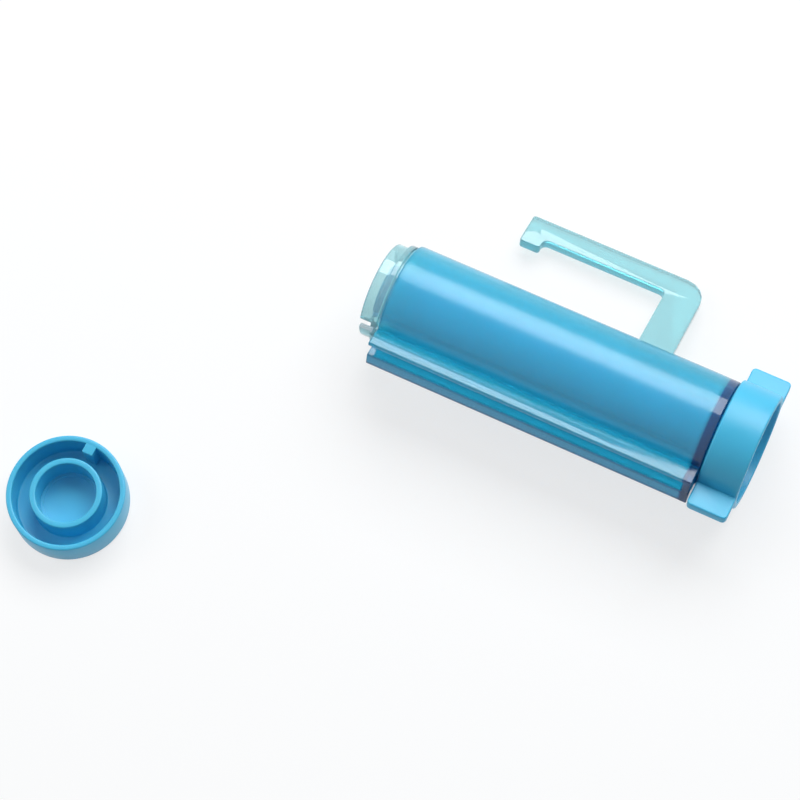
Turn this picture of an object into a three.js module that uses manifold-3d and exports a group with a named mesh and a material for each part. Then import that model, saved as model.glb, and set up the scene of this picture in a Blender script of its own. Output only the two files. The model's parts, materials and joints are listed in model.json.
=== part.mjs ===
// Toothpaste squeezer: a slotted housing with a hook, a winding key and an end cap.
// Millimetres, +Z up. The squeezer lies on its side, as it comes to rest on a table:
// on the key's round knob, the housing's left end and the hook's far edge. The cap lies beside it.
// X runs along the winding axis, towards the knob, and +Y is the hook's side.
// The origin is on the table, below the middle of everything that lies on it.

import * as THREE from 'three';
import { mergeVertices } from 'three/addons/utils/BufferGeometryUtils.js';
import Module from 'manifold-3d';

// Housing tube
const bodyRadius = 12.5;
const bodyLength = 75.4;
const bodyWall = 1.6;
const endWall = 1.9;
const bodyEdge = 0.4;

// Spigot that the cap goes on
const spigotLength = 5.0;
const spigotRadius = 11.0;
const spigotWall = 1.3;
const beadHeight = 0.9;
const beadWidth = 1.4;
const beadSetback = 0.6;
const grooveDepth = 0.6;

// Slot and its two lips
const slotGap = 3.0;
const lipReach = 17.0;
const lipWall = 1.1;
const lipLedge = 0.5;
const lipBand = 3.7;
const railDepth = 2.2;
const railWall = 1.2;

// Hook, a flat plate in the plane of the axis
const hookTop = 36.8;
const hookPlate = 2.4;
const hookArmWidth = 8.3;
const hookArmEnd = 60.1;
const hookBarHeight = 5.6;
const hookTipEnd = 16.5;
const hookTipWidth = 5.0;
const hookTipDrop = 2.8;
const hookCornerRadius = 5.0;
const hookInnerRadius = 1.4;
const hookTipRadius = 0.7;
const hookRootInset = 1.0;

// Winding key
const knobRadius = 13.4;
const knobLength = 9.3;
const knobWall = 1.5;
const knobFloor = 1.8;
const knobEdge = 0.4;
const wingReach = 19.2;
const wingPlate = 2.2;
const wingCornerRadius = 1.0;
const plugLength = 3.0;
const rodRadius = 6.4;
const rodWall = 1.5;
const rodTipPastBody = 3.5;
const rodSlit = 1.8;
const rodRoot = 2.6;
const keyTurn = THREE.MathUtils.degToRad(7.2);

// End cap, lying mouth up beside the squeezer
const capHeight = 8.0;
const capFloor = 1.2;
const capRingWall = 1.4;
const capRingDrop = 0.2;
const capEdge = 0.9;
const capRimEdge = 0.3;
const capRibDepth = 2.1;
const capRibDrop = 0.3;
const capX = -48.5;
const capY = -71.1;

// Clearances
const turnGap = 0.3;
const capGap = 0.2;
const ribGap = 0.2;
const rodGap = 0.4;
const restGap = 0.05;

// Fineness
const roundSides = 96;
const arcSteps = 6;
const overlap = 0.6;

// Fits that follow from the values above
const housingEnd = bodyLength + endWall;
const boreRadius = bodyRadius - bodyWall;
const spigotBore = spigotRadius - spigotWall;
const beadRadius = spigotRadius + beadHeight;
const grooveRadius = beadRadius - grooveDepth;
const lipInner = slotGap / 2;
const lipOuter = lipInner + lipWall;
const lipNeck = lipOuter - lipLedge;
const bandTop = lipReach - lipBand;
const hookBarLow = hookTop - hookBarHeight;
const hookArmStart = hookArmEnd - hookArmWidth;
const knobStart = housingEnd + turnGap;
const knobEnd = knobStart + knobLength;
const plugRadius = boreRadius - turnGap;
const rodTip = -rodTipPastBody;
const capRadius = knobRadius;
const capBore = beadRadius + capGap;
const capRingInner = rodRadius + rodGap;
const capRingOuter = capRingInner + capRingWall;
const capRibWidth = slotGap - 2 * ribGap;
// The hook's far edge comes down to the table when the squeezer rolls by this angle.
const hookHalf = hookPlate / 2;
const restRoll = Math.asin((knobRadius - restGap) / Math.hypot(hookTop, hookHalf))
  - Math.atan2(hookHalf, hookTop);

const wasm = await Module();
wasm.setup();

// A closed geometry as a solid, with its shared vertices merged.
function solid(geometry) {
  const bare = new THREE.BufferGeometry();
  const source = geometry.index ? geometry.toNonIndexed() : geometry;
  bare.setAttribute('position', source.getAttribute('position').clone());
  const merged = mergeVertices(bare, 1e-4);
  return new wasm.Manifold(new wasm.Mesh({
    numProp: 3,
    vertProperties: new Float32Array(merged.attributes.position.array),
    triVerts: new Uint32Array(merged.index.array),
  }));
}

// A solid back as a geometry that three.js can show.
function toGeometry(body) {
  const mesh = body.getMesh();
  const geometry = new THREE.BufferGeometry();
  geometry.setAttribute('position', new THREE.BufferAttribute(new Float32Array(mesh.vertProperties), 3));
  geometry.setIndex(new THREE.BufferAttribute(new Uint32Array(mesh.triVerts), 1));
  geometry.computeVertexNormals();
  return geometry;
}

// A solid of revolution about X. The outline is [x, radius] pairs, given anticlockwise.
function turnedAboutX(outline) {
  const points = outline.map(([x, radius]) => new THREE.Vector2(radius, x)).reverse();
  points.push(points[0].clone());
  const geometry = new THREE.LatheGeometry(points, roundSides);
  return solid(geometry.rotateZ(-Math.PI / 2));
}

// A solid of revolution about Z. The outline is [radius, z] pairs, given anticlockwise.
function turnedAboutZ(outline) {
  const points = outline.map(([radius, z]) => new THREE.Vector2(radius, z));
  const geometry = new THREE.LatheGeometry(points, roundSides);
  return solid(geometry.rotateX(Math.PI / 2));
}

// A box between two corners.
function box(low, high) {
  const size = high.map((value, axis) => value - low[axis]);
  const middle = high.map((value, axis) => (value + low[axis]) / 2);
  return solid(new THREE.BoxGeometry(...size).translate(...middle));
}

// A flat plate in the XY plane, centred on z = 0.
function plate(shape, thickness) {
  const geometry = new THREE.ExtrudeGeometry(shape, {
    depth: thickness,
    bevelEnabled: false,
    curveSegments: arcSteps,
  });
  return solid(geometry.translate(0, 0, -thickness / 2));
}

// A prism along X of an outline of [y, z] pairs, given anticlockwise.
function prismAlongX(outline, fromX, toX) {
  const shape = new THREE.Shape(outline.map(([y, z]) => new THREE.Vector2(y, z)));
  const geometry = new THREE.ExtrudeGeometry(shape, { depth: toX - fromX, bevelEnabled: false });
  // The outline's plane XY becomes YZ, and its depth runs along X.
  const turn = new THREE.Matrix4().makeBasis(
    new THREE.Vector3(0, 1, 0),
    new THREE.Vector3(0, 0, 1),
    new THREE.Vector3(1, 0, 0),
  );
  return solid(geometry.applyMatrix4(turn).translate(fromX, 0, 0));
}

// A polygon whose corners are rounded: each point is [x, y, radius].
function roundedShape(corners) {
  const shape = new THREE.Shape();
  const count = corners.length;
  corners.forEach(([x, y, radius], index) => {
    const here = new THREE.Vector2(x, y);
    const before = new THREE.Vector2(...corners[(index + count - 1) % count].slice(0, 2));
    const after = new THREE.Vector2(...corners[(index + 1) % count].slice(0, 2));
    const arrive = here.clone().add(before.sub(here).setLength(radius));
    const leave = here.clone().add(after.sub(here).setLength(radius));
    if (index === 0) shape.moveTo(arrive.x, arrive.y);
    else shape.lineTo(arrive.x, arrive.y);
    if (radius > 0) {
      // A quarter arc between square sides, whose centre is opposite the corner.
      const centre = arrive.clone().add(leave).sub(here);
      const start = Math.atan2(arrive.y - centre.y, arrive.x - centre.x);
      const end = Math.atan2(leave.y - centre.y, leave.x - centre.x);
      const turn = Math.atan2(Math.sin(end - start), Math.cos(end - start));
      shape.absarc(centre.x, centre.y, radius, start, start + turn, turn < 0);
    }
  });
  shape.closePath();
  return shape;
}

// The tube with its spigot, bead and bore, all turned about the axis.
function housingTube() {
  return turnedAboutX([
    [-spigotLength, spigotBore],
    [housingEnd - bodyEdge, spigotBore],
    [housingEnd, boreRadius],
    [housingEnd, bodyRadius - bodyEdge],
    [housingEnd - bodyEdge, bodyRadius],
    [bodyEdge, bodyRadius],
    [0, bodyRadius - bodyEdge],
    [0, grooveRadius],
    [-beadSetback, grooveRadius],
    [-beadSetback, beadRadius],
    [-beadSetback - beadWidth, beadRadius],
    [-beadSetback - beadWidth, spigotRadius],
    [-spigotLength + bodyEdge, spigotRadius],
    [-spigotLength, spigotRadius - bodyEdge],
  ]);
}

// The wide bore behind the spigot, as a solid to cut away.
function housingBore() {
  return turnedAboutX([
    [0, 0],
    [housingEnd + overlap, 0],
    [housingEnd + overlap, boreRadius],
    [0, boreRadius],
  ]);
}

// The upper lip has a band that stands proud, and the lower lip turns out into a rail.
function lips() {
  const root = -boreRadius;
  const upper = prismAlongX([
    [-lipReach, lipInner],
    [root, lipInner],
    [root, lipNeck],
    [-bandTop, lipNeck],
    [-bandTop, lipOuter],
    [-lipReach, lipOuter],
  ], 0, housingEnd);
  const lower = prismAlongX([
    [-lipReach, -lipOuter - railDepth],
    [-lipReach + railWall, -lipOuter - railDepth],
    [-lipReach + railWall, -lipOuter],
    [root, -lipOuter],
    [root, -lipInner],
    [-lipReach, -lipInner],
  ], 0, housingEnd);
  return upper.add(lower);
}

// The wall that closes the slot at the knob's end.
function slotEnd() {
  return prismAlongX([
    [-lipReach, -lipOuter - railDepth],
    [-boreRadius, -lipOuter - railDepth],
    [-boreRadius, lipOuter],
    [-lipReach, lipOuter],
  ], bodyLength, housingEnd);
}

function hook() {
  const root = bodyRadius - hookRootInset;
  const tipLow = hookBarLow - hookTipDrop;
  return plate(roundedShape([
    [hookArmEnd, root, 0],
    [hookArmEnd, hookTop, hookCornerRadius],
    [hookTipEnd, hookTop, hookTipRadius],
    [hookTipEnd, tipLow, hookTipRadius],
    [hookTipEnd + hookTipWidth, tipLow, hookTipRadius],
    [hookTipEnd + hookTipWidth, hookBarLow, hookInnerRadius],
    [hookArmStart, hookBarLow, hookInnerRadius],
    [hookArmStart, root, 0],
  ]), hookPlate);
}

function housing() {
  const slot = box(
    [-spigotLength - overlap, -lipReach - overlap, -lipInner],
    [bodyLength, 0, lipInner],
  );
  return housingTube().add(lips()).add(slotEnd()).add(hook()).subtract(slot).subtract(housingBore());
}

// The knob is a cup that opens outwards, and its plug turns in the housing's bore.
function knobCup() {
  const cupRadius = knobRadius - knobWall;
  return turnedAboutX([
    [knobStart - plugLength, 0],
    [knobStart + knobFloor, 0],
    [knobStart + knobFloor, cupRadius],
    [knobEnd, cupRadius],
    [knobEnd, knobRadius - knobEdge],
    [knobEnd - knobEdge, knobRadius],
    [knobStart + knobEdge, knobRadius],
    [knobStart, knobRadius - knobEdge],
    [knobStart, plugRadius],
    [knobStart - plugLength, plugRadius],
  ]);
}

// One plate makes both wings. The cup's hollow is cut out of it later.
function wings() {
  return plate(roundedShape([
    [knobEnd, -wingReach, wingCornerRadius],
    [knobEnd, wingReach, wingCornerRadius],
    [knobStart, wingReach, wingCornerRadius],
    [knobStart, -wingReach, wingCornerRadius],
  ]), wingPlate);
}

function cupHollow() {
  return turnedAboutX([
    [knobStart + knobFloor, 0],
    [knobEnd + overlap, 0],
    [knobEnd + overlap, knobRadius - knobWall],
    [knobStart + knobFloor, knobRadius - knobWall],
  ]);
}

// A hollow rod, split lengthwise so that it grips what is wound on it.
function windingRod() {
  const rodEnd = knobStart - plugLength + overlap;
  const rodBore = rodRadius - rodWall;
  const rodShell = turnedAboutX([
    [rodTip, rodBore],
    [rodEnd, rodBore],
    [rodEnd, rodRadius],
    [rodTip + knobEdge, rodRadius],
    [rodTip, rodRadius - knobEdge],
  ]);
  const slit = box(
    [rodTip - overlap, -rodRadius - overlap, -rodSlit / 2],
    [knobStart - plugLength - rodRoot, rodRadius + overlap, rodSlit / 2],
  );
  return rodShell.subtract(slit);
}

function windingKey() {
  return knobCup().add(wings()).subtract(cupHollow()).add(windingRod());
}

// The cap's skirt goes over the bead and its inner ring round the rod's tip.
function capShell() {
  const arc = Array.from({ length: arcSteps + 1 }, (_, step) => {
    const angle = (step / arcSteps) * (Math.PI / 2);
    return [capRadius - capEdge + capEdge * Math.sin(angle), capEdge - capEdge * Math.cos(angle)];
  });
  return turnedAboutZ([
    [0, 0],
    ...arc,
    [capRadius, capHeight - capRimEdge],
    [capRadius - capRimEdge, capHeight],
    [capBore + capRimEdge, capHeight],
    [capBore, capHeight - capRimEdge],
    [capBore, capFloor],
    [capRingOuter, capFloor],
    [capRingOuter, capHeight - capRingDrop],
    [capRingInner, capHeight - capRingDrop],
    [capRingInner, capFloor],
    [0, capFloor],
  ]);
}

// The rib on the skirt's inside keys the cap to the slot.
function capRib() {
  const skirt = (capRadius + capBore) / 2;
  return box(
    [-capRibWidth / 2, capBore - capRibDepth, capFloor / 2],
    [capRibWidth / 2, skirt, capHeight - capRibDrop],
  );
}

function finish(name, body, colour, roughness) {
  const material = new THREE.MeshStandardMaterial({ color: colour, roughness, metalness: 0 });
  const mesh = new THREE.Mesh(toGeometry(body), material);
  mesh.name = name;
  return mesh;
}

const squeezer = new THREE.Group();
squeezer.position.set(0, 0, knobRadius);
squeezer.rotation.x = -restRoll;
squeezer.add(finish('housing', housing(), 0x54c4e0, 0.45));

const key = finish('winding_key', windingKey(), 0x4aa6e8, 0.38);
key.rotation.x = keyTurn;
squeezer.add(key);

const cap = finish('end_cap', capShell().add(capRib()), 0x4aa6e8, 0.38);
cap.position.set(capX, capY, 0);

// The middle of the whole, seen from above, comes to the origin.
const farEdge = hookTop * Math.cos(restRoll) + hookHalf * Math.sin(restRoll);
const middleX = (capX - capRadius + knobEnd) / 2;
const middleY = (capY - capRadius + farEdge) / 2;

const group = new THREE.Group();
group.position.set(-middleX, -middleY, 0);
group.add(squeezer, cap);

export default group;
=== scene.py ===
# %% [markdown]
# # A toothpaste squeezer in tinted plastic
# A see-through blue housing with a hook, an opaque winding key that turns in it, and the end cap
# that is taken off and lies beside it. The construction is loaded as a fixed frame, and every
# piece below takes its place from the boxes of the frame's nodes. All lengths are in metres.

# %% Load the frame
import json
import math

import bmesh
import bpy
from mathutils import Matrix, Vector


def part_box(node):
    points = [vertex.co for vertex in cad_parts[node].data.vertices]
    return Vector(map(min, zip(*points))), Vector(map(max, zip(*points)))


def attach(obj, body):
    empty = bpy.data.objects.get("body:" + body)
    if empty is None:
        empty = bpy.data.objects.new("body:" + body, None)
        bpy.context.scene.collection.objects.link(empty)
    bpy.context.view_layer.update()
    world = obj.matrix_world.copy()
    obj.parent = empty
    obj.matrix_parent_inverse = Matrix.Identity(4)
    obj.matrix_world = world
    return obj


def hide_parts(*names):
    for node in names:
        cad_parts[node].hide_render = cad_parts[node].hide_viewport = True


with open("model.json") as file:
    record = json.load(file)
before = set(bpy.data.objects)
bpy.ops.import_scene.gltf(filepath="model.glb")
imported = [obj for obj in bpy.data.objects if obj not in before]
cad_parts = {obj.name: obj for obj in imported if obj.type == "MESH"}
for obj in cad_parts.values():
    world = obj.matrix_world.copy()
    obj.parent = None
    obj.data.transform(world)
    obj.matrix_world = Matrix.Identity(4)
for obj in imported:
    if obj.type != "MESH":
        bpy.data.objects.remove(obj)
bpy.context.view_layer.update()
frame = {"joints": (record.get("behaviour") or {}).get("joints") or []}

MM = 0.001

# %% [markdown]
# ## The squeezer's own axes
# The squeezer lies on its knob and on the far edge of its hook, so it is rolled about the tube's
# axis. It is easier to model it unrolled, with the tube along X, the hook along Y and the hook's
# flat side facing Z, and to roll each finished mesh into its place. The roll is worked out from
# the height of the hinge, and the tube's left end from the housing's box.

# %% Axis, roll and left end
hinge = frame["joints"][0]
axis_point = Vector(hinge["pos_m"])
SPIGOT_LENGTH = 5 * MM
HOOK_TOP = 36.8 * MM
HOOK_PLATE = 2.4 * MM
REST_GAP = 0.05 * MM
hook_reach = math.hypot(HOOK_TOP, HOOK_PLATE / 2)
rest_roll = math.asin((axis_point.z - REST_GAP) / hook_reach) - math.atan2(HOOK_PLATE / 2, HOOK_TOP)
body_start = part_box("housing")[0].x + SPIGOT_LENGTH
to_place = (Matrix.Translation((body_start, axis_point.y, axis_point.z))
            @ Matrix.Rotation(-rest_roll, 4, "X"))
print("roll in degrees:", round(math.degrees(rest_roll), 2))

# %% [markdown]
# ## The camera
# The camera looks down on the table from the slot's side, a little past the knob's end, so that
# the inside of the knob shows. It could be placed by hand, but a direction, a distance and a
# turn about the line of sight are easier to read and to correct.

# %% Camera
LOOK_AT = Vector((9.3, -20.1, 7.4)) * MM
CAMERA_HEIGHT_ANGLE = math.radians(70)
CAMERA_SIDE_ANGLE = math.radians(35)
CAMERA_TURN = math.radians(-9.54)
CAMERA_DISTANCE = 600 * MM
CAMERA_LENS = 121.0
SENSOR_WIDTH = 36.0

across = math.cos(CAMERA_HEIGHT_ANGLE)
to_camera = Vector((math.sin(CAMERA_SIDE_ANGLE) * across, -math.cos(CAMERA_SIDE_ANGLE) * across,
                    math.sin(CAMERA_HEIGHT_ANGLE)))
level = Vector((math.cos(CAMERA_SIDE_ANGLE), math.sin(CAMERA_SIDE_ANGLE), 0))
steep = to_camera.cross(level)
camera_right = level * math.cos(CAMERA_TURN) + steep * math.sin(CAMERA_TURN)
camera_up = to_camera.cross(camera_right)
camera_place = Matrix((camera_right, camera_up, to_camera)).transposed().to_4x4()
look_point = Vector((body_start, axis_point.y, 0)) + LOOK_AT
camera_place.translation = look_point + to_camera * CAMERA_DISTANCE

camera_data = bpy.data.cameras.new("camera")
camera_data.sensor_fit = "HORIZONTAL"
camera_data.sensor_width = SENSOR_WIDTH
camera_data.lens = CAMERA_LENS
camera = bpy.data.objects.new("camera", camera_data)
camera.matrix_world = camera_place
bpy.context.scene.collection.objects.link(camera)
bpy.context.scene.camera = camera
print("camera at", [round(v, 3) for v in camera_place.translation])

# %% [markdown]
# ## Helpers for meshes
# A turned shape starts as a flat outline of its section. Its corners are rounded with a vertex
# bevel while it is still one face, because that is simpler than rounding the finished body. The
# face is then taken away and its edges are spun about the axis. Plates are outlines that are
# rounded in the same way and extruded. Pieces that are one moulding are joined with an exact
# boolean, so that no wall is left inside the plastic.

# %% Mesh helpers
ROUND_STEPS = 4
TURN_STEPS = 144
SMOOTH_ANGLE = math.radians(32)
SEAM = 0.002 * MM


def outline_face(bm, points, radii):
    """One flat face through the points, each corner rounded by its radius, 0 for a sharp one."""
    verts = [bm.verts.new(point) for point in points]
    bm.faces.new(verts)
    for radius in sorted({r for r in radii if r > 0}):
        corners = [v for v, r in zip(verts, radii) if r == radius]
        bmesh.ops.bevel(bm, geom=corners, offset=radius, offset_type="OFFSET", affect="VERTICES",
                        segments=ROUND_STEPS, profile=0.5, material=-1)
    bm.faces.ensure_lookup_table()
    return bm.faces[0]


def to_object(bm, name):
    """Closes the seams, turns the faces outwards and makes an object at the origin."""
    bmesh.ops.remove_doubles(bm, verts=bm.verts[:], dist=SEAM)
    bmesh.ops.recalc_face_normals(bm, faces=bm.faces[:])
    mesh = bpy.data.meshes.new(name)
    bm.to_mesh(mesh)
    bm.free()
    piece = bpy.data.objects.new(name, mesh)
    bpy.context.scene.collection.objects.link(piece)
    return piece


def turned(name, section, axis=(1, 0, 0)):
    """A full turn of a section of (along, radius, rounding) rows, in the order round its edge."""
    along_axis = Vector(axis)
    outwards = Vector((0, 1, 0))
    bm = bmesh.new()
    points = [along_axis * along * MM + outwards * radius * MM for along, radius, _ in section]
    face = outline_face(bm, points, [rounding * MM for _, _, rounding in section])
    bmesh.ops.delete(bm, geom=[face], context="FACES_ONLY")
    on_axis = [e for e in bm.edges if all(v.co.dot(outwards) < SEAM for v in e.verts)]
    bmesh.ops.delete(bm, geom=on_axis, context="EDGES")
    bmesh.ops.spin(bm, geom=bm.verts[:] + bm.edges[:], cent=(0, 0, 0), axis=along_axis,
                   angle=math.tau, steps=TURN_STEPS, use_merge=True)
    return to_object(bm, name)


def plate(name, corners, normal, thickness, edge, middle=0.0):
    """An outline of (point, rounding) rows, extruded to both sides along its normal."""
    normal = Vector(normal)
    bm = bmesh.new()
    points = [Vector(point) * MM for point, _ in corners]
    face = outline_face(bm, points, [rounding * MM for _, rounding in corners])
    start = normal * (middle - thickness / 2) * MM
    bmesh.ops.translate(bm, verts=bm.verts[:], vec=start)
    grown = bmesh.ops.extrude_face_region(bm, geom=[face], use_keep_orig=True)
    moved = [part for part in grown["geom"] if isinstance(part, bmesh.types.BMVert)]
    bmesh.ops.translate(bm, verts=moved, vec=normal * thickness * MM)
    bmesh.ops.recalc_face_normals(bm, faces=bm.faces[:])
    rims = [e for e in bm.edges if abs(e.link_faces[0].normal.dot(normal))
            + abs(e.link_faces[1].normal.dot(normal)) > 0.9 and e.calc_face_angle() > 1.2]
    bmesh.ops.bevel(bm, geom=rims, offset=edge * MM, offset_type="OFFSET", affect="EDGES",
                    segments=ROUND_STEPS, profile=0.5, material=-1)
    return to_object(bm, name)


def block(name, lowest, highest, edge=0.0):
    """A box between two corners, with its edges rounded."""
    bm = bmesh.new()
    size = (Vector(highest) - Vector(lowest)) * MM
    middle = (Vector(highest) + Vector(lowest)) * MM / 2
    bmesh.ops.create_cube(bm, size=1, matrix=Matrix.Translation(middle) @ Matrix.Diagonal((*size, 1)))
    if edge:
        bmesh.ops.bevel(bm, geom=bm.edges[:], offset=edge * MM, offset_type="OFFSET",
                        affect="EDGES", segments=ROUND_STEPS, profile=0.5, material=-1)
    return to_object(bm, name)


def combine(piece, others, operation="UNION"):
    """Joins other shapes to a piece, or cuts them out of it, and removes them."""
    for other in others:
        step = piece.modifiers.new("combine", "BOOLEAN")
        step.operation = operation
        step.solver = "EXACT"
        step.object = other
        with bpy.context.temp_override(object=piece, active_object=piece):
            bpy.ops.object.modifier_apply(modifier=step.name)
        bpy.data.objects.remove(other)


def settle(piece, place=Matrix.Identity(4)):
    """Puts the mesh in its place and shades it smooth up to its real creases."""
    bm = bmesh.new()
    bm.from_mesh(piece.data)
    bmesh.ops.remove_doubles(bm, verts=bm.verts[:], dist=SEAM)
    bmesh.ops.dissolve_degenerate(bm, edges=bm.edges[:], dist=SEAM)
    bmesh.ops.transform(bm, matrix=place, verts=bm.verts[:])
    open_edges = sum(1 for edge in bm.edges if not edge.is_manifold)
    volume = bm.calc_volume(signed=True) / MM ** 3
    bm.to_mesh(piece.data)
    bm.free()
    piece.data.shade_smooth()
    piece.data.set_sharp_from_angle(angle=SMOOTH_ANGLE)
    print(piece.name, len(piece.data.polygons), "faces,", open_edges, "open edges,",
          round(volume), "cubic mm")


# %% [markdown]
# ## The housing
# On the real object this is one clear blue moulding: a tube whose outside is frosted, a polished
# spigot with a bead that the cap snaps over, two lips that lead into the slot, a wall that closes
# the slot, and a flat hook. The tube is turned, the slot is cut out of it, and the lips and the
# hook are joined on. The distances are in millimetres from the left end of the tube, and the
# helpers scale them.

# %% The tube with its spigot and bead
BODY_RADIUS = 12.5
BODY_LENGTH = 75.4
BORE_RADIUS = 10.9
HOUSING_END = 77.3
SPIGOT_START = -SPIGOT_LENGTH / MM
SPIGOT_RADIUS = 11.0
SPIGOT_BORE = 9.7
BEAD_RADIUS = 11.9
BEAD_START = -2.0
BEAD_END = -0.6
GROOVE_RADIUS = 11.3

housing = turned("housing_shell", [
    (SPIGOT_START, SPIGOT_BORE, 0.25),
    (0, SPIGOT_BORE, 0.3),
    (0, BORE_RADIUS, 0.3),
    (HOUSING_END, BORE_RADIUS, 0.2),
    (HOUSING_END, BODY_RADIUS, 0.4),
    (0, BODY_RADIUS, 0.4),
    (0, GROOVE_RADIUS, 0.15),
    (BEAD_END, GROOVE_RADIUS, 0.1),
    (BEAD_END, BEAD_RADIUS, 0.25),
    (BEAD_START, BEAD_RADIUS, 0.25),
    (BEAD_START, SPIGOT_RADIUS, 0.15),
    (SPIGOT_START, SPIGOT_RADIUS, 0.35),
])
print("tube of", HOUSING_END - SPIGOT_START, "mm")

# %% [markdown]
# ### Slot, lips and the wall at the slot's end
# The upper lip is a thin flange with a proud band along its edge. The lower lip turns outwards
# into a rail. Both are prisms along the tube, made from their sections.

# %% Slot and lips
SLOT_HALF = 1.5
LIP_REACH = 17.0
LIP_OUTER = 2.6
LIP_NECK = 2.1
BAND_TOP = 13.3
RAIL_FOOT = 4.8
RAIL_WALL = 1.2
LIP_ROOT = 11.2
LIP_INSET = 0.02

slot_cut = block("slot_cut", (SPIGOT_START - 1, -LIP_REACH - 1, -SLOT_HALF),
                 (BODY_LENGTH, 0, SLOT_HALF))
combine(housing, [slot_cut], "DIFFERENCE")

lip_middle = (LIP_INSET + BODY_LENGTH + 1) / 2
lip_length = BODY_LENGTH + 1 - LIP_INSET
upper_lip = plate("upper_lip", [
    ((0, -LIP_REACH, SLOT_HALF), 0.3),
    ((0, -LIP_ROOT, SLOT_HALF), 0),
    ((0, -LIP_ROOT, LIP_NECK), 0),
    ((0, -BAND_TOP, LIP_NECK), 0.15),
    ((0, -BAND_TOP, LIP_OUTER), 0.25),
    ((0, -LIP_REACH, LIP_OUTER), 0.35),
], (1, 0, 0), lip_length, 0.2, lip_middle)
lower_lip = plate("lower_lip", [
    ((0, -LIP_REACH, -RAIL_FOOT), 0.35),
    ((0, -LIP_REACH + RAIL_WALL, -RAIL_FOOT), 0.35),
    ((0, -LIP_REACH + RAIL_WALL, -LIP_OUTER), 0.3),
    ((0, -LIP_ROOT, -LIP_OUTER), 0),
    ((0, -LIP_ROOT, -SLOT_HALF), 0),
    ((0, -LIP_REACH, -SLOT_HALF), 0.3),
], (1, 0, 0), lip_length, 0.2, lip_middle)
slot_end = block("slot_end", (BODY_LENGTH, -LIP_REACH, -RAIL_FOOT),
                 (HOUSING_END - LIP_INSET, -LIP_ROOT, LIP_OUTER), 0.3)
combine(housing, [upper_lip, lower_lip, slot_end])
print("slot", 2 * SLOT_HALF, "mm wide")

# %% [markdown]
# ### The hook
# A flat plate that grows out of the tube's back, with a large outer corner, and a short tip that
# points back to the tube. Its outline is drawn once and extruded.

# %% Hook
HOOK_HEIGHT = HOOK_TOP / MM
ARM_START = 51.8
ARM_END = 60.1
BAR_LOW = 31.2
TIP_END = 16.5
TIP_START = 21.5
TIP_LOW = 28.4
HOOK_ROOT = 11.5

hook = plate("hook", [
    ((ARM_END, HOOK_ROOT, 0), 0),
    ((ARM_END, HOOK_HEIGHT, 0), 5.0),
    ((TIP_END, HOOK_HEIGHT, 0), 0.7),
    ((TIP_END, TIP_LOW, 0), 0.7),
    ((TIP_START, TIP_LOW, 0), 0.7),
    ((TIP_START, BAR_LOW, 0), 1.4),
    ((ARM_START, BAR_LOW, 0), 1.4),
    ((ARM_START, HOOK_ROOT, 0), 0),
], (0, 0, 1), HOOK_PLATE / MM, 0.25)
combine(housing, [hook])
settle(housing, to_place)

# %% [markdown]
# ## The winding key
# The opaque key is one moulding too: a knob in the form of a cup, two flat wings to turn it by,
# a plug that runs in the housing's bore, and a hollow rod that is split lengthwise so that it
# grips what is wound on it. Everything that is round about the axis is one turned section. The
# slit is cut out, and the wings are joined on.

# %% Knob, plug and rod
KNOB_RADIUS = 13.4
KNOB_START = 77.6
KNOB_END = 86.9
KNOB_FLOOR = 79.4
CUP_RADIUS = 11.9
PLUG_START = 74.6
PLUG_RADIUS = 10.6
ROD_TIP = -3.5
ROD_RADIUS = 6.4
ROD_BORE = 4.9
SLIT_HALF = 0.9
SLIT_END = 72.0

key = turned("winding_key_shell", [
    (KNOB_FLOOR, 0, 0),
    (KNOB_FLOOR, CUP_RADIUS, 0.9),
    (KNOB_END, CUP_RADIUS, 0.3),
    (KNOB_END, KNOB_RADIUS, 0.45),
    (KNOB_START, KNOB_RADIUS, 0.45),
    (KNOB_START, PLUG_RADIUS, 0.1),
    (PLUG_START, PLUG_RADIUS, 0.3),
    (PLUG_START, ROD_RADIUS, 0.3),
    (ROD_TIP, ROD_RADIUS, 0.5),
    (ROD_TIP, ROD_BORE, 0.3),
    (PLUG_START, ROD_BORE, 0.4),
    (PLUG_START, 0, 0),
])
slit_cut = block("slit_cut", (ROD_TIP - 1, -PLUG_RADIUS, -SLIT_HALF),
                 (SLIT_END, PLUG_RADIUS, SLIT_HALF))
combine(key, [slit_cut], "DIFFERENCE")
print("knob of", 2 * KNOB_RADIUS, "mm")

# %% Wings
WING_REACH = 19.2
WING_ROOT = 12.6
WING_HALF = 1.1
WING_INSET = 0.02
KEY_TURN = math.radians(7.2)


def wing(side):
    """One flat wing, from the middle of the knob's wall outwards."""
    left = KNOB_START + WING_INSET
    right = KNOB_END - WING_INSET
    return plate("wing", [
        ((left, side * WING_ROOT, 0), 0),
        ((right, side * WING_ROOT, 0), 0),
        ((right, side * WING_REACH, 0), 1.0),
        ((left, side * WING_REACH, 0), 1.0),
    ], (0, 0, 1), 2 * WING_HALF, 0.3)


combine(key, [wing(1), wing(-1)])
settle(key, to_place @ Matrix.Rotation(KEY_TURN, 4, "X"))

# %% [markdown]
# ## The end cap
# The cap lies mouth up on the table. Its skirt goes over the spigot's bead, its inner ring takes
# the tip of the rod, and the small rib on the inside of the skirt fits the slot. A shallow circle
# is sunk into the floor inside the ring. The cap is turned about the upright axis, and the rib is
# joined on.

# %% Cap
CAP_HEIGHT = 8.0
CAP_FLOOR = 1.2
CAP_RADIUS = 13.4
CAP_BORE = 12.1
RING_OUTER = 8.2
RING_INNER = 6.8
RING_TOP = 7.8
RIB_HALF = 1.3
RIB_REACH = 10.0
RIB_ROOT = 12.9
RIB_TOP = 7.96
RECESS_RADIUS = 6.1
RECESS_FLOOR = 0.95

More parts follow.
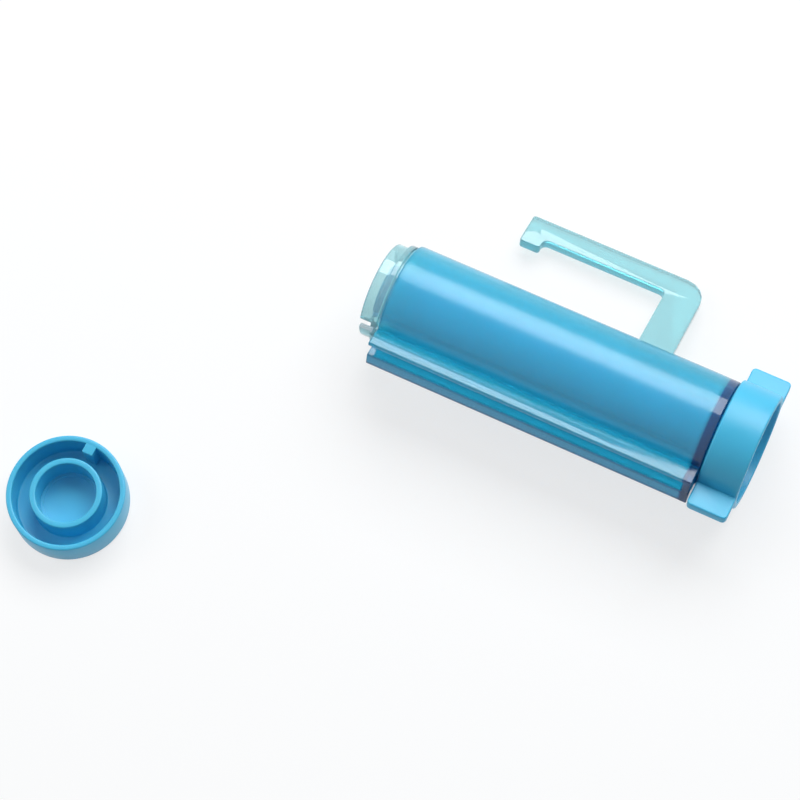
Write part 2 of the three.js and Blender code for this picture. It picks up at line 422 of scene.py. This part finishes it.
cap = turned("end_cap_shell", [
    (0, 0, 0),
    (0, CAP_RADIUS, 0.9),
    (CAP_HEIGHT, CAP_RADIUS, 0.35),
    (CAP_HEIGHT, CAP_BORE, 0.35),
    (CAP_FLOOR, CAP_BORE, 0.5),
    (CAP_FLOOR, RING_OUTER, 0.4),
    (RING_TOP, RING_OUTER, 0.3),
    (RING_TOP, RING_INNER, 0.3),
    (CAP_FLOOR, RING_INNER, 0.2),
    (CAP_FLOOR, RECESS_RADIUS, 0.1),
    (RECESS_FLOOR, RECESS_RADIUS, 0.1),
    (RECESS_FLOOR, 0, 0),
], axis=(0, 0, 1))
rib = block("rib", (-RIB_HALF, RIB_REACH, CAP_FLOOR / 2), (RIB_HALF, RIB_ROOT, RIB_TOP), 0.18)
combine(cap, [rib])
cap_low, cap_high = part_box("end_cap")
cap_middle = (cap_low + cap_high) / 2
settle(cap, Matrix.Translation((cap_middle.x, cap_middle.y, cap_low.z)))

# %% [markdown]
# ## A shared effect: moulded grain
# Moulded plastic is never quite even. A very fine grain comes from the tool's surface, and slow
# waves come from the way the plastic cools. Both are noise on Object coordinates, so they stay
# on the piece when it moves. They are one node group, because each material uses them with its
# own values.

# %% Node helpers and the grain group
def add_node(tree, kind, x, y, **settings):
    """A shader node at a place on the node sheet, with its settings."""
    node = tree.nodes.new(kind)
    node.location = (x, y)
    for key_name, value in settings.items():
        setattr(node, key_name, value)
    return node


def moulded_grain_group():
    """Gives a height for bump, and a slow variation from 0 to 1."""
    tree = bpy.data.node_groups.new("moulded_grain", "ShaderNodeTree")
    for name, start in (("Grain Scale", 4000.0), ("Wave Scale", 60.0)):
        socket = tree.interface.new_socket(name, in_out="INPUT", socket_type="NodeSocketFloat")
        socket.default_value = start
    for name in ("Height", "Waves"):
        tree.interface.new_socket(name, in_out="OUTPUT", socket_type="NodeSocketFloat")
    inputs = add_node(tree, "NodeGroupInput", -800, 0)
    outputs = add_node(tree, "NodeGroupOutput", 400, 0)
    place = add_node(tree, "ShaderNodeTexCoord", -800, 300)
    grain = add_node(tree, "ShaderNodeTexNoise", -500, 200)
    grain.inputs["Detail"].default_value = 3.0
    waves = add_node(tree, "ShaderNodeTexNoise", -500, -150)
    waves.inputs["Detail"].default_value = 2.0
    for noise, scale in ((grain, "Grain Scale"), (waves, "Wave Scale")):
        tree.links.new(place.outputs["Object"], noise.inputs["Vector"])
        tree.links.new(inputs.outputs[scale], noise.inputs["Scale"])
    tree.links.new(grain.outputs["Fac"], outputs.inputs["Height"])
    tree.links.new(waves.outputs["Fac"], outputs.inputs["Waves"])
    return tree


grain_group = moulded_grain_group()
print("group", grain_group.name)


def plastic(name):
    """A new material with its Principled shader, its grain and a bump for the grain's height."""
    material = bpy.data.materials.new(name)
    material.use_nodes = True
    tree = material.node_tree
    tree.nodes.clear()
    output = add_node(tree, "ShaderNodeOutputMaterial", 700, 0)
    shader = add_node(tree, "ShaderNodeBsdfPrincipled", 350, 0)
    tree.links.new(shader.outputs["BSDF"], output.inputs["Surface"])
    grain = add_node(tree, "ShaderNodeGroup", -500, -300)
    grain.node_tree = grain_group
    bump = add_node(tree, "ShaderNodeBump", 50, -350)
    tree.links.new(grain.outputs["Height"], bump.inputs["Height"])
    tree.links.new(bump.outputs["Normal"], shader.inputs["Normal"])
    return material, tree, shader, grain, bump


def blend_colours(tree, factor, first, second, x, y):
    """Mixes two colours by a factor that comes from another node."""
    mix = add_node(tree, "ShaderNodeMix", x, y, data_type="RGBA")
    tree.links.new(factor, mix.inputs["Factor"])
    mix.inputs["A"].default_value = (*first, 1)
    mix.inputs["B"].default_value = (*second, 1)
    return mix.outputs["Result"]


def tint_over(tree, colour, factor, tint, x, y):
    """Lays one more colour over a colour from another node, where the factor is 1."""
    mix = add_node(tree, "ShaderNodeMix", x, y, data_type="RGBA")
    tree.links.new(factor, mix.inputs["Factor"])
    tree.links.new(colour, mix.inputs["A"])
    mix.inputs["B"].default_value = (*tint, 1)
    return mix.outputs["Result"]


def remap(tree, value, from_low, from_high, to_low, to_high, x, y):
    """Turns a range of values into another, smoothly and without going past its ends."""
    node = add_node(tree, "ShaderNodeMapRange", x, y, interpolation_type="SMOOTHSTEP")
    tree.links.new(value, node.inputs["Value"])
    for socket, number in (("From Min", from_low), ("From Max", from_high),
                           ("To Min", to_low), ("To Max", to_high)):
        node.inputs[socket].default_value = number
    return node.outputs["Result"]


# %% [markdown]
# ## Tinted see-through plastic
# The housing is dyed through, so light takes on more colour the further it goes in the plastic:
# the flat of the hook is pale, and its edges are deep. Volume absorption gives that. A surface
# colour for each part of the moulding is laid over it: pale for the hook and the spigot, and
# deeper for the lips, the rail and the band at the knob's end. These deeper colours are painted
# shade: the lips' own tint is deepened for the dark slot and tube behind them, the rail is darker
# for its face that turns away from the light, and the end band is a dark painted shade for the
# plug's shadowed side seen through the clear wall. A share of plain diffuse light makes the
# plastic a little milky. The tube's outside is frosted by its mould, so its roughness and its bump
# are raised there by a mask. The masks need the distance from the axis and the place along it, so
# a Mapping node unrolls the coordinates first.

# %% Tinted plastic
FROST_ROUGHNESS = 0.23
CLEAR_ROUGHNESS = 0.06
HOOK_COLOUR = (0.58, 0.80, 0.82)
# Lips: their own tint, deepened as painted shade for the dark slot behind them.
LIP_TINT_WITH_PAINTED_SHADE = (0.05, 0.62, 0.80)
# Rail: painted shade, darker for the face that turns away from the light.
RAIL_PAINTED_SHADE = (0.03, 0.34, 0.55)
# End band: dark painted shade for the plug's shadowed side seen through the clear wall.
BAND_PAINTED_SHADE = (0.005, 0.16, 0.40)
FROST_COLOUR = (0.08, 0.73, 0.94)
ABSORB_COLOUR = (0.0, 0.84, 0.92)
ABSORB_DENSITY = 230.0
MILKY_TRANSMISSION = 0.72
TINTED_GRAIN_SCALE = 5200.0
TINTED_WAVE_SCALE = 70.0
TINTED_GRAIN_DEPTH = 0.05 * MM
FROST_BUMP = 0.25
CLEAR_BUMP = 0.02
FROST_RADIUS = (12.55 * MM, 12.7 * MM)
FROST_START = (0.2 * MM, 0.6 * MM)
FROST_END = (74.3 * MM, 74.8 * MM)
HOOK_SIDE = (10.0 * MM, 14.0 * MM)
SPIGOT_SIDE = (-0.4 * MM, 0.0)
RAIL_SIDE = (-1.6 * MM, -1.3 * MM)
BAND_SIDE = (74.9 * MM, 75.3 * MM)


def tinted_plastic():
    """Dyed see-through plastic, frosted on the tube and polished elsewhere; lips, rail and end band
    carry painted shade.
    """
    material, tree, shader, grain, bump = plastic("see_through_plastic")
    grain.inputs["Grain Scale"].default_value = TINTED_GRAIN_SCALE
    grain.inputs["Wave Scale"].default_value = TINTED_WAVE_SCALE
    place = add_node(tree, "ShaderNodeTexCoord", -1500, 200)
    unroll = add_node(tree, "ShaderNodeMapping", -1300, 200, vector_type="TEXTURE")
    unroll.inputs["Location"].default_value = (body_start, axis_point.y, axis_point.z)
    unroll.inputs["Rotation"].default_value = (-rest_roll, 0, 0)
    tree.links.new(place.outputs["Object"], unroll.inputs["Vector"])
    parts = add_node(tree, "ShaderNodeSeparateXYZ", -1100, 200)
    tree.links.new(unroll.outputs["Vector"], parts.inputs["Vector"])
    flat = add_node(tree, "ShaderNodeCombineXYZ", -900, 100)
    tree.links.new(parts.outputs["Y"], flat.inputs["Y"])
    tree.links.new(parts.outputs["Z"], flat.inputs["Z"])
    radius = add_node(tree, "ShaderNodeVectorMath", -700, 100, operation="LENGTH")
    tree.links.new(flat.outputs["Vector"], radius.inputs[0])
    inside = remap(tree, radius.outputs["Value"], *FROST_RADIUS, 1.0, 0.0, -500, 250)
    from_left = remap(tree, parts.outputs["X"], *FROST_START, 0.0, 1.0, -500, 500)
    to_band = remap(tree, parts.outputs["X"], *FROST_END, 1.0, 0.0, -500, 750)
    along = add_node(tree, "ShaderNodeMath", -300, 600, operation="MULTIPLY")
    tree.links.new(from_left, along.inputs[0])
    tree.links.new(to_band, along.inputs[1])
    frost = add_node(tree, "ShaderNodeMath", -100, 400, operation="MULTIPLY")
    tree.links.new(along.outputs["Value"], frost.inputs[0])
    tree.links.new(inside, frost.inputs[1])
    mask = frost.outputs["Value"]
    roughness = remap(tree, mask, 0.0, 1.0, CLEAR_ROUGHNESS, FROST_ROUGHNESS, 100, 300)
    tree.links.new(roughness, shader.inputs["Roughness"])
    hook_side = remap(tree, parts.outputs["Y"], *HOOK_SIDE, 0.0, 1.0, -500, 1000)
    before_tube = remap(tree, parts.outputs["X"], *SPIGOT_SIDE, 1.0, 0.0, -500, 1250)
    pale = add_node(tree, "ShaderNodeMath", -300, 1100, operation="MAXIMUM")
    tree.links.new(hook_side, pale.inputs[0])
    tree.links.new(before_tube, pale.inputs[1])
    # Mask of the rail's painted shade, below the slot.
    rail_shade_mask = remap(tree, parts.outputs["Z"], *RAIL_SIDE, 1.0, 0.0, -500, 1500)
    # Mask of the end band's painted shade.
    band_shade_mask = remap(tree, parts.outputs["X"], *BAND_SIDE, 0.0, 1.0, -500, 1750)
    # The lips' tint with painted shade, blended into the rail's darker painted shade below the slot.
    colour = blend_colours(tree, rail_shade_mask, LIP_TINT_WITH_PAINTED_SHADE, RAIL_PAINTED_SHADE, -300, 1500)
    # The end band's dark painted shade is laid over it.
    colour = tint_over(tree, colour, band_shade_mask, BAND_PAINTED_SHADE, -100, 1300)
    colour = tint_over(tree, colour, pale.outputs["Value"], HOOK_COLOUR, 0, 1000)
    colour = tint_over(tree, colour, mask, FROST_COLOUR, 100, 700)
    tree.links.new(colour, shader.inputs["Base Color"])
    shader.inputs["Transmission Weight"].default_value = MILKY_TRANSMISSION
    shader.inputs["Specular IOR Level"].default_value = 0.75
    shader.inputs["IOR"].default_value = 1.49
    bump.inputs["Distance"].default_value = TINTED_GRAIN_DEPTH
    strength = remap(tree, mask, 0.0, 1.0, CLEAR_BUMP, FROST_BUMP, -200, -200)
    tree.links.new(strength, bump.inputs["Strength"])
    absorb = add_node(tree, "ShaderNodeVolumeAbsorption", 350, -450)
    absorb.inputs["Color"].default_value = (*ABSORB_COLOUR, 1)
    absorb.inputs["Density"].default_value = ABSORB_DENSITY
    tree.links.new(absorb.outputs["Volume"], tree.nodes["Material Output"].inputs["Volume"])
    return material


housing_material = tinted_plastic()
print("material", housing_material.name)

# %% [markdown]
# ## Opaque sky-blue plastic
# The key and the cap are filled with pigment. Light goes a little way into such plastic and comes
# out again, so a small amount of subsurface scattering keeps thin rims bright. The finish is
# satin: a fine grain, and a slow variation of roughness.

# %% Opaque plastic
BLUE = (0.045, 0.45, 0.70)
BLUE_LIGHTER = (0.058, 0.49, 0.74)
BLUE_GRAIN_SCALE = 3600.0
BLUE_WAVE_SCALE = 90.0
BLUE_GRAIN_DEPTH = 0.03 * MM
BLUE_BUMP = 0.12
BLUE_ROUGHNESS = (0.33, 0.42)
SCATTER_WEIGHT = 0.25
SCATTER_RADIUS = (0.3, 0.7, 1.0)
SCATTER_SCALE = 1.2 * MM


def blue_plastic():
    """Pigmented satin plastic."""
    material, tree, shader, grain, bump = plastic("satin_plastic")
    grain.inputs["Grain Scale"].default_value = BLUE_GRAIN_SCALE
    grain.inputs["Wave Scale"].default_value = BLUE_WAVE_SCALE
    colour = blend_colours(tree, grain.outputs["Waves"], BLUE, BLUE_LIGHTER, 50, 300)
    tree.links.new(colour, shader.inputs["Base Color"])
    roughness = remap(tree, grain.outputs["Waves"], 0.3, 0.7, *BLUE_ROUGHNESS, 50, 0)
    tree.links.new(roughness, shader.inputs["Roughness"])
    shader.inputs["IOR"].default_value = 1.5
    shader.inputs["Subsurface Weight"].default_value = SCATTER_WEIGHT
    shader.inputs["Subsurface Radius"].default_value = SCATTER_RADIUS
    shader.inputs["Subsurface Scale"].default_value = SCATTER_SCALE
    bump.inputs["Distance"].default_value = BLUE_GRAIN_DEPTH
    bump.inputs["Strength"].default_value = BLUE_BUMP
    return material


key_material = blue_plastic()
print("material", key_material.name)

# %% [markdown]
# ## Tie the pieces to the frame
# Each modelled piece stands for its node, gets its material, and rides on the body that carries it,
# so that the key turns in the housing.

# %% Materials, bodies and replaced nodes
PIECES = (
    (housing, "housing", "housing_body", "tinted_plastic", housing_material),
    (key, "winding_key", "key_body", "blue_plastic", key_material),
    (cap, "end_cap", "housing_body", "blue_plastic", key_material),
)
for piece, node, body, slot, material in PIECES:
    piece.data.materials.clear()
    piece.data.materials.append(material)
    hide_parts(node)
    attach(piece, body)
print(len(PIECES), "pieces placed")

# %% [markdown]
# ## Table, background and light
# The table is a plain white plane. To the camera, and in reflections and through the plastic,
# most of its white comes from emission at strength 1, so it stays white without more light on
# the object, and the rest is lit, so it keeps the shadow. A wide soft lamp behind the squeezer
# gives the long highlight on the tube, and a weak one from the left opens the shade.

# %% Table and background
FLOOR_HALF = 3.0
FLOOR_COLOUR = (0.93, 0.95, 0.97)
OWN_WHITE = 0.72


def seen_directly(tree, x, y):
    """1 for rays from the camera, in reflections and through glass, 0 for those that light things."""
    path = add_node(tree, "ShaderNodeLightPath", x, y)
    first = add_node(tree, "ShaderNodeMath", x + 200, y, operation="MAXIMUM")
    tree.links.new(path.outputs["Is Camera Ray"], first.inputs[0])
    tree.links.new(path.outputs["Is Glossy Ray"], first.inputs[1])
    both = add_node(tree, "ShaderNodeMath", x + 400, y, operation="MAXIMUM")
    tree.links.new(first.outputs["Value"], both.inputs[0])
    tree.links.new(path.outputs["Is Transmission Ray"], both.inputs[1])
    return both.outputs["Value"]


floor_material = bpy.data.materials.new("table_white")
floor_material.use_nodes = True
floor_tree = floor_material.node_tree
floor_tree.nodes.clear()
floor_output = add_node(floor_tree, "ShaderNodeOutputMaterial", 600, 0)
floor_lit = add_node(floor_tree, "ShaderNodeBsdfDiffuse", 0, 100)
floor_lit.inputs["Color"].default_value = (*FLOOR_COLOUR, 1)
floor_own = add_node(floor_tree, "ShaderNodeEmission", 0, -100)
floor_own.inputs["Color"].default_value = (1, 1, 1, 1)
floor_share = add_node(floor_tree, "ShaderNodeMath", 200, 250, operation="MULTIPLY")
floor_tree.links.new(seen_directly(floor_tree, -600, 300), floor_share.inputs[0])
floor_share.inputs[1].default_value = OWN_WHITE
floor_mix = add_node(floor_tree, "ShaderNodeMixShader", 400, 0)
floor_tree.links.new(floor_share.outputs["Value"], floor_mix.inputs["Fac"])
floor_tree.links.new(floor_lit.outputs["BSDF"], floor_mix.inputs[1])
floor_tree.links.new(floor_own.outputs["Emission"], floor_mix.inputs[2])
floor_tree.links.new(floor_mix.outputs["Shader"], floor_output.inputs["Surface"])

floor_bm = bmesh.new()
bmesh.ops.create_grid(floor_bm, x_segments=1, y_segments=1, size=FLOOR_HALF)
floor = to_object(floor_bm, "table")
floor.data.materials.append(floor_material)

world = bpy.data.worlds.new("studio")
bpy.context.scene.world = world
world.use_nodes = True
world_tree = world.node_tree
backdrop = world_tree.nodes["Background"]
backdrop.inputs["Color"].default_value = (0.93, 0.96, 1.0, 1)
SURROUND_LIGHT = 0.21
world_strength = remap(world_tree, seen_directly(world_tree, -900, 0), 0, 1, SURROUND_LIGHT, 1.0,
                       -250, 0)
world_tree.links.new(world_strength, backdrop.inputs["Strength"])
print("table and background ready")

# %% Lamps
LAMP_DISTANCE = 0.9


def soft_lamp(name, side_angle, height_angle, width, depth, power):
    """A rectangular lamp that faces the squeezer, placed by two angles in degrees."""
    side = math.radians(side_angle)
    height = math.radians(height_angle)
    direction = Vector((math.sin(side) * math.cos(height), -math.cos(side) * math.cos(height),
                        math.sin(height)))
    data = bpy.data.lights.new(name, "AREA")
    data.shape = "RECTANGLE"
    data.size = width
    data.size_y = depth
    data.energy = power
    lamp = bpy.data.objects.new(name, data)
    lamp.location = Vector((0, 0, 0.01)) + direction * LAMP_DISTANCE
    lamp.rotation_euler = direction.to_track_quat("Z", "Y").to_euler()
    bpy.context.scene.collection.objects.link(lamp)
    return lamp


soft_lamp("key_lamp", side_angle=180, height_angle=50, width=0.9, depth=0.62, power=9.3)
soft_lamp("side_lamp", side_angle=-80, height_angle=40, width=0.5, depth=0.4, power=1.6)
print("lamps ready")

# %% [markdown]
# ## Finish
# The view transform is the plain one.

# %% Finish
bpy.context.scene.view_settings.view_transform = "Standard"
